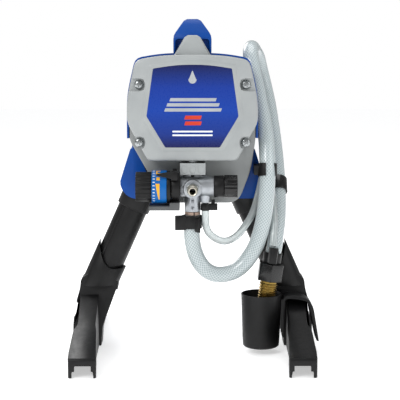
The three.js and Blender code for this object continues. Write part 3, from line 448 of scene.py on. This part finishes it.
hoses = {
    "suctionHose": {
        "diameter": 0.022, "sides": 32, "step": 0.004, "finish": "milky_hose",
        "route": [
            (-1, -62, 195), (-1, -62, 182), (-0.6, -62, 163), (3, -62, 144.2), (9.6, -62, 129.8),
            (18.8, -62, 119), (31.5, -61.5, 113), (45.8, -60.5, 113), (59, -59.5, 117.5),
            (70.6, -58.5, 126.5), (79.7, -58, 138.5), (87.2, -57, 151.5), (92.4, -56, 166),
            (96.9, -55, 184), (100.1, -54, 204), (102.2, -53, 229), (103.1, -51.3, 253.6),
            (102.9, -45, 276.6), (101.8, -34, 300.8), (98.4, -25, 323.8), (93.7, -16, 348.3),
            (89.2, -6, 371.7), (85, 3, 392.6), (82.6, 10.5, 409), (82.8, 23, 419.3), (85, 38, 423.5),
            (89.2, 55.6, 419.5), (94.9, 69.2, 410.4), (100.5, 79.5, 391.2), (106, 79.5, 369.3),
            (111.3, 72, 344.7), (115.2, 62, 318.7), (118.3, 51, 294.5), (120.7, 38, 269.3),
            (122, 21, 244.5), (122, 3, 222.5), (121.3, -13, 203.1), (119.7, -27, 183.7), (116.4, -39, 164),
            (113.6, -45.6, 147), (111.9, -46.5, 139.2),
        ],
    },
    "primeTube": {
        "diameter": 0.010, "sides": 24, "step": 0.003, "finish": "clear_tube",
        "route": [
            (17.5, -66, 202.5), (17.5, -66, 192), (18.2, -66, 182), (21.4, -66, 173), (27, -66, 167),
            (35, -65.2, 162), (44, -63.3, 159.6), (53, -60.5, 161.5), (62, -56, 167), (70.6, -51, 176.2),
            (80.5, -44, 190), (86.3, -39, 202.9), (90.2, -36, 216), (93.9, -33.6, 231), (97.5, -32.4, 248),
            (98.6, -31, 260), (98.9, -26.5, 274), (98, -19.4, 293), (94.9, -7.5, 324), (91.7, 1.7, 348),
            (88.6, 12, 371), (86.7, 22.5, 390), (86.4, 33, 400.5), (87.9, 45, 405), (91.9, 56, 400.5),
            (96.4, 62.5, 389.5), (100.8, 63.5, 369), (104.7, 56, 345), (107.6, 47, 319), (109.1, 36, 295),
            (110.4, 22, 269), (110.9, 2, 247), (111.2, -14, 231), (112.1, -33, 214.5), (113, -43.5, 196),
            (113.2, -50.5, 180), (111.8, -57.5, 166), (110.8, -62, 152.4),
        ],
    },
}


# A smooth line through the points, spaced evenly enough for rings.
def routeLine(points, step):
    path = [Vector(p) * mm for p in points]
    path = [path[0] * 2 - path[1]] + path + [path[-1] * 2 - path[-2]]
    line = []
    for a, b, c, d in zip(path, path[1:], path[2:], path[3:]):
        gaps = [max((q - p).length ** 0.5, 1e-6) for p, q in ((a, b), (b, c), (c, d))]
        leave = ((b - a) / gaps[0] - (c - a) / (gaps[0] + gaps[1]) + (c - b) / gaps[1]) * gaps[1]
        enter = ((c - b) / gaps[1] - (d - b) / (gaps[1] + gaps[2]) + (d - c) / gaps[2]) * gaps[1]
        count = max(1, round((c - b).length / step))
        for i in range(count):
            t = i / count
            line.append(b * (2 * t**3 - 3 * t**2 + 1) + c * (3 * t**2 - 2 * t**3)
                        + leave * (t**3 - 2 * t**2 + t) + enter * (t**3 - t**2))
    line.append(path[-2])
    return line


# A round tube of rings along the line; its "along" map runs round the tube and, in metres, down it.
def tubeAlong(name, line, radius, sides):
    normal = Vector((0, 1, 0)) if abs((line[1] - line[0]).normalized().y) < 0.9 else Vector((1, 0, 0))
    corners, run, faces, coords = [], 0.0, [], []
    runs = []
    for i, point in enumerate(line):
        direction = (line[min(i + 1, len(line) - 1)] - line[max(i - 1, 0)]).normalized()
        normal = (normal - direction * normal.dot(direction)).normalized()
        side = direction.cross(normal)
        if i:
            run += (point - line[i - 1]).length
        runs.append(run)
        for k in range(sides):
            angle = 2 * math.pi * k / sides
            corners.append(point + (normal * math.cos(angle) + side * math.sin(angle)) * radius)
    for i in range(len(line) - 1):
        for k in range(sides):
            n = (k + 1) % sides
            faces.append((i * sides + k, i * sides + n, (i + 1) * sides + n, (i + 1) * sides + k))
            u0, u1 = k / sides, (k + 1) / sides
            coords.append(((u0, runs[i]), (u1, runs[i]), (u1, runs[i + 1]), (u0, runs[i + 1])))
    last = (len(line) - 1) * sides
    faces.append(tuple(reversed(range(sides))))
    coords.append(tuple((k / sides, 0.0) for k in reversed(range(sides))))
    faces.append(tuple(last + k for k in range(sides)))
    coords.append(tuple((k / sides, run) for k in range(sides)))
    mesh = bpy.data.meshes.new(name)
    mesh.from_pydata(corners, [], faces)
    layer = mesh.uv_layers.new(name="along")
    for face, around in zip(mesh.polygons, coords):
        for loop, uv in zip(face.loop_indices, around):
            layer.data[loop].uv = uv
    tube = bpy.data.objects.new(name, mesh)
    bpy.context.scene.collection.objects.link(tube)
    smooth(tube, 50)
    return tube, run


for name, node in (("suctionHose", "suction_hose"), ("primeTube", "prime_tube")):
    hose = hoses[name]
    line = routeLine(hose["route"], hose["step"])
    tube, length = tubeAlong(name, line, hose["diameter"] / 2, hose["sides"])
    place(tube, node, finish=hose["finish"])
    print(name, "made,", round(length, 3), "m")

# ------- pieces that keep their moulded shape, with rounded edges

roundedPieces = {
    "foot_left": 0.5, "foot_right": 0.5, "leg_tube_left": 0.4, "leg_tube_right": 0.4, "leg_yoke": 0.7,
    "front_cover": 0.7, "carry_handle": 0.9, "drive_housing": 0.8, "rod_guard": 0.5,
    "rear_grille": 0.4, "hose_hook": 0.5,
    "pump_body": 0.7, "packing_nut": 0.4, "outlet_nut": 0.5, "intake_valve": 0.3, "suction_clamp": 0.5,
    "prime_barb": 0.2, "prime_clamp": 0.5, "control_collar": 0.5, "control_bracket": 0.6,
    "pressure_knob": 0.4, "prime_valve_body": 0.4, "prime_valve_knob": 0.4, "switch_bezel": 0.3,
    "switch_toggle": 0.3, "cord_gland": 0.5, "hose_clip_front": 0.3, "hose_clip_rear": 0.3,
    "strainer_body": 0.5, "strainer_nut": 0.7, "inlet_screen": 0.2, "cup_saddle": 0.5,
}
otherFinish = {
    "strainer_nut": "black_gloss", "hose_clip_rear": "black_gloss", "control_bracket": "bracket_grey",
}
skins = {name: roundedSkin(name, edge, finish=otherFinish.get(name))
         for name, edge in roundedPieces.items()}
print("rounded pieces:", len(skins))

# ------- shroud: both halves as one skin, closed along the hairline where they meet

shroud = {"edge": 0.8, "seam": 0.2, "onSeam": 0.01, "merge": 0.03}


def shroudSkin():
    left, right = mergedSkin("shroud_left"), mergedSkin("shroud_right")
    selectOnly(left)
    right.select_set(True)
    bpy.ops.object.join()
    left.name = left.data.name = "shroudSkin"
    enterEdit(left)
    nearSeam = shroud["seam"] * mm
    selectWhere(left, "vertices", lambda v, mesh: abs(v.co.x) < nearSeam)
    bpy.ops.transform.resize(value=(0, 1, 1), center_override=(0, 0, 0))
    selectWhere(left, "polygons", lambda f, mesh: all(
        abs(mesh.vertices[i].co.x) < shroud["onSeam"] * mm for i in f.vertices))
    bpy.ops.mesh.delete(type="ONLY_FACE")
    bpy.ops.mesh.select_all(action="SELECT")
    bpy.ops.mesh.select_mode(type="VERT")
    bpy.ops.mesh.remove_doubles(threshold=shroud["merge"] * mm)
    bpy.ops.mesh.dissolve_limited(angle_limit=math.radians(skin["flat"]))
    leaveEdit()
    softEdges(left, shroud["edge"])
    smooth(left, skin["smooth"])
    return place(left, "shroud_left", "shroud_right")


shroudSkin()
print("shroud joined")

# ------- label: a raised frame with a sloping surround, the plate in it and plain printed shapes

label = {
    "lift": 1.5, "proud": 0.15, "middle": 343, "face": -77.95, "printDepth": 0.12, "corner": 0.6,
    "surroundEdge": 0.35, "surroundAngle": 12, "leanShare": 0.35,
    # how much the outline grows and how far it falls back: frame, slope, hidden rim
    "surround": ((1.052, 0.0), (1.055, 1.6), (1.0, 1.5)),
    "stripes": ((340.5, 76, 4.4, 4.5), (347.3, 70, 4.4, 4.5), (354.1, 62, 4.4, 4.5)),
    "redBars": ((322.5, 22, 5.2, 4.5), (330.3, 22, 5.2, 4.5)),
    "whiteBars": ((306.5, 54, 2.2, 0.0), (311.5, 54, 2.2, 0.0)),
    "emblem": (381, 5.4, 6.5),
}


def labelFace(name, forward):
    face = mergedSkin("label_plate")
    face.name = face.data.name = name
    enterEdit(face)
    selectWhere(face, "polygons", lambda f, mesh: f.normal.y > -0.9)
    bpy.ops.mesh.delete(type="FACE")
    bpy.ops.mesh.select_all(action="SELECT")
    bpy.ops.transform.translate(value=(0, -forward * mm, 0))
    return face


# A frame level with the plate, then a slope down to the cover's face and a rim that sinks into it.
def labelSurround():
    ring = labelFace("labelSurround", label["lift"] + label["proud"])
    bpy.ops.mesh.delete(type="ONLY_FACE")
    bpy.ops.mesh.select_mode(type="EDGE")
    bpy.ops.mesh.select_all(action="SELECT")
    for grow, back in label["surround"]:
        bpy.ops.mesh.extrude_region_move(TRANSFORM_OT_translate={"value": (0, back * mm, 0)})
        bpy.ops.transform.resize(value=(grow, 1, grow), center_override=(0, 0, label["middle"] * mm))
    bpy.ops.mesh.select_all(action="SELECT")
    bpy.ops.mesh.normals_make_consistent(inside=False)
    leaveEdit()
    if sum(face.normal.y * face.area for face in ring.data.polygons) > 0:
        enterEdit(ring)
        bpy.ops.mesh.flip_normals()
        leaveEdit()
    softEdges(ring, label["surroundEdge"], angle=label["surroundAngle"])
    smooth(ring, label["surroundAngle"])
    return place(ring, body="machine", finish="cover_grey", slot="cover_grey")


def printedBar(name, height, width, tall, lean, finish):
    bpy.ops.object.select_all(action="DESELECT")
    bpy.ops.mesh.primitive_plane_add(size=1, rotation=(math.pi / 2, 0, 0))
    bar = bpy.context.active_object
    bar.name = bar.data.name = name
    bar.scale = (width * mm, tall * mm, 1)
    bar.location = (0, (label["face"] - label["lift"]) * mm, height * mm)
    settle(bar)
    enterEdit(bar)
    selectWhere(bar, "vertices", lambda v, mesh: v.co.z > height * mm)
    bpy.ops.transform.translate(value=(lean * mm * label["leanShare"], 0, 0))
    bpy.ops.mesh.select_all(action="SELECT")
    bpy.ops.mesh.bevel(offset=label["corner"] * mm, segments=3, affect="VERTICES")
    bpy.ops.mesh.select_all(action="SELECT")
    bpy.ops.mesh.extrude_region_move(TRANSFORM_OT_translate={"value": (0, label["printDepth"] * mm, 0)})
    bpy.ops.mesh.select_all(action="SELECT")
    bpy.ops.mesh.normals_make_consistent(inside=False)
    leaveEdit()
    return place(bar, body="machine", finish=finish, slot="label_blue")


def labelPlate():
    plate = mergedSkin("label_plate")
    enterEdit(plate)
    bpy.ops.transform.translate(value=(0, -label["lift"] * mm, 0))
    leaveEdit()
    smooth(plate, 30)
    return place(plate, "label_plate")


# A paint drop: the upper rows of a disc are narrowed and drawn up to a point.
def paintDrop():
    height, radius, rise = label["emblem"]
    bpy.ops.object.select_all(action="DESELECT")
    bpy.ops.mesh.primitive_circle_add(vertices=40, radius=radius * mm, fill_type="NGON",
                                      rotation=(math.pi / 2, 0, 0))
    drop = bpy.context.active_object
    drop.name = drop.data.name = "paintDrop"
    drop.location = (0, (label["face"] - label["lift"]) * mm, height * mm)
    settle(drop)
    enterEdit(drop)
    rows = sorted({round(v.co.z, 6) for v in drop.data.vertices if v.co.z > (height + 0.2) * mm})
    for row in rows:
        share = (row / mm - height) / radius
        selectWhere(drop, "vertices", lambda v, mesh: abs(v.co.z - row) < 2e-6)
        wide = (1 - share) / max(math.sqrt(1 - min(share, 0.9999) ** 2), 0.02)
        bpy.ops.transform.resize(value=(min(1.0, 0.25 + 0.75 * wide), 1, 1), center_override=(0, 0, row))
    for row in reversed(rows):
        share = (row / mm - height) / radius
        selectWhere(drop, "vertices", lambda v, mesh: abs(v.co.z - row) < 2e-6)
        bpy.ops.transform.translate(value=(0, 0, rise * share * share * mm))
    bpy.ops.mesh.select_all(action="SELECT")
    bpy.ops.mesh.extrude_region_move(TRANSFORM_OT_translate={"value": (0, label["printDepth"] * mm, 0)})
    bpy.ops.mesh.select_all(action="SELECT")
    bpy.ops.mesh.normals_make_consistent(inside=False)
    leaveEdit()
    return place(drop, body="machine", finish="silver_print", slot="label_blue")


labelSurround()
labelPlate()
paintDrop()
for kind, finish in (("stripes", "silver_print"), ("redBars", "red_print"), ("whiteBars", "white_print")):
    for i, bar in enumerate(label[kind]):
        printedBar(kind + str(i + 1), *bar, finish)
print("label made")

# ------- cover screws: domed heads with a cross recess

coverScrew = {
    "places": ((-72, 374), (72, 374), (-72, 296), (72, 296)), "turns": (10, 55, -12, 35), "seat": -69.9,
    "profile": ((0, 0), (5.7, 0), (6.2, 0.5), (6.2, 1.7), (5.5, 2.7), (4.0, 3.5), (2.0, 3.9), (0, 4.0)),
    "slotLength": 6.6, "slotWidth": 1.3, "slotDepth": 2.2, "headHeight": 4.0,
}


def crossHeadScrew(i, x, z, turn):
    screw = turnedPiece("crossHeadScrew" + str(i + 1), coverScrew["profile"], (x, coverScrew["seat"], z),
                        (0, -1, 0), 32)
    crown = coverScrew["seat"] - coverScrew["headHeight"]
    for quarter in (0, 90):
        bpy.ops.object.select_all(action="DESELECT")
        bpy.ops.mesh.primitive_cube_add(size=1, location=(x * mm, crown * mm, z * mm),
                                        rotation=(0, math.radians(turn + quarter), 0))
        tool = bpy.context.active_object
        tool.scale = (coverScrew["slotLength"] * mm, 2 * coverScrew["slotDepth"] * mm,
                      coverScrew["slotWidth"] * mm)
        settle(tool)
        cut = screw.modifiers.new("recess", "BOOLEAN")
        cut.operation = "DIFFERENCE"
        cut.object = tool
        cut.solver = "EXACT"
        selectOnly(screw)
        bpy.ops.object.modifier_apply(modifier=cut.name)
        bpy.data.objects.remove(tool)
    smooth(screw, 35)
    return place(screw, "cover_screw_" + str(i + 1))


for i, ((x, z), turn) in enumerate(zip(coverScrew["places"], coverScrew["turns"])):
    crossHeadScrew(i, x, z, turn)
print("screws made")

# ------- pressure ring: a printed band with plain ticks and yellow blocks

pressureRing = {
    "axis": (-72, 236), "start": (-55, -72, 236), "radius": 22.5, "arc": 6, "tickArc": 2.6, "sunk": 0.1,
    "markDepth": 0.5, "markOverlap": 1.04, "markEdge": 0.08,
    "profile": ((18.5, 0), (22.2, 0), (22.5, 0.3), (22.5, 19.7), (22.2, 20), (18.5, 20), (18.5, 0)),
    "white": [(angle, -53.6, -50.6) for angle in range(8, 150, 12)],
    # turns from the top towards the front, then the mark's two ends along the axis
    "yellow": [(14, -49.2, -43.2), (20, -49.2, -47.2), (26, -49.2, -47.2), (32, -49.2, -43.2),
               (52, -48.4, -43.9), (58, -48.4, -43.9)]
              + [(angle, -49.6 + (angle - 76) * 0.07, -44.2) for angle in range(76, 131, 6)],
}


def ringMarks(name, marks, arc, finish):
    pieces = []
    for angle, low, high in marks:
        turn = math.radians(angle)
        reach = pressureRing["radius"] - pressureRing["sunk"]
        bpy.ops.object.select_all(action="DESELECT")
        bpy.ops.mesh.primitive_cube_add(size=1, rotation=(turn, 0, 0), location=(
            (low + high) / 2 * mm, (pressureRing["axis"][0] - reach * math.sin(turn)) * mm,
            (pressureRing["axis"][1] + reach * math.cos(turn)) * mm))
        mark = bpy.context.active_object
        mark.scale = ((high - low) * mm, reach * math.radians(arc) * pressureRing["markOverlap"] * mm,
                      pressureRing["markDepth"] * mm)
        settle(mark)
        pieces.append(mark)
    bpy.ops.object.select_all(action="DESELECT")
    for piece in pieces:
        piece.select_set(True)
    bpy.context.view_layer.objects.active = pieces[0]
    bpy.ops.object.join()
    pieces[0].name = pieces[0].data.name = name
    softEdges(pieces[0], pressureRing["markEdge"], 1)
    return place(pieces[0], body="pressure_control", finish=finish, slot="ring_blue")


place(turnedPiece("pressureBand", pressureRing["profile"], pressureRing["start"], (1, 0, 0), 96),
      "knob_label_ring")
ringMarks("ringTicks", pressureRing["white"], pressureRing["tickArc"], "white_print")
ringMarks("ringBlocks", pressureRing["yellow"], pressureRing["arc"], "yellow_print")
print("pressure ring made")

# ------- turned pieces: nipple, strainer thread and drip cup

strainer = {"foot": (99.8, -46.5, 50), "axis": (0.135, 0, 1), "ridges": 7, "pitch": 3.6}
nipple = {"start": (0, -112.4, 234), "ridges": 8, "pitch": 1.5}
cup = {"start": (96, -46.5, 7.5)}

threadProfile = [(8, 24), (11.4, 24)]
for i in range(strainer["ridges"]):
    low = 24.4 + i * strainer["pitch"]
    threadProfile += [(11.5, low), (12.7, low + 0.9), (12.7, low + 1.7), (11.5, low + 2.6)]
threadProfile += [(11.5, 51.6), (8, 51.6), (8, 24)]
strainerThread = place(turnedPiece("strainerThread", threadProfile, strainer["foot"], strainer["axis"], 64),
                       "strainer_thread")

nippleProfile = [(4.3, 0.4), (5.0, 0), (5.6, 0.1), (6.2, 1.0), (6.4, 3.6)]
for i in range(nipple["ridges"]):
    low = 4.2 + i * nipple["pitch"]
    nippleProfile += [(6.0, low), (6.4, low + 0.5), (6.4, low + 0.8)]
nippleProfile += [(6.4, 25.9), (4.3, 25.9), (4.3, 0.4)]
place(turnedPiece("outletNipple", nippleProfile, nipple["start"], (0, 1, 0), 48), "outlet_nipple",
      finish="nickel_cream")

cupProfile = [(0, 0), (21.8, 0), (23.6, 0.7), (25.2, 2.4), (26.1, 14), (26.9, 40), (28.1, 73.8), (28.3, 75.0),
              (28.0, 75.5), (26.4, 75.5), (26.1, 75.1), (24.9, 40), (23.3, 4.2), (21.6, 2.3), (19, 2), (0, 2)]
place(turnedPiece("dripCup", cupProfile, cup["start"], (0, 0, 1), 96), "drip_cup")
print("turned pieces made")

# ------- hidden pieces keep their solids

for name, solid in nodes.items():
    if name not in remade:
        paint(solid, slotOf[name])

# ------- floor

floorMaterial = newMaterial("paleFloor")
floorShader = addNode(floorMaterial, "ShaderNodeBsdfPrincipled",
                      {"Base Color": linear(studio["floorHex"]), "Roughness": 0.7,
                       "Emission Color": (1, 1, 1, 1), "Emission Strength": studio["floorGlow"]})
finishSurface(floorMaterial, floorShader)
bpy.ops.object.select_all(action="DESELECT")
bpy.ops.mesh.primitive_plane_add(size=studio["floorSize"], location=(0, 0, -studio["floorDepth"]))
floor = bpy.context.active_object
floor.name = "studioFloor"
floor.data.materials.append(floorMaterial)

print("done")
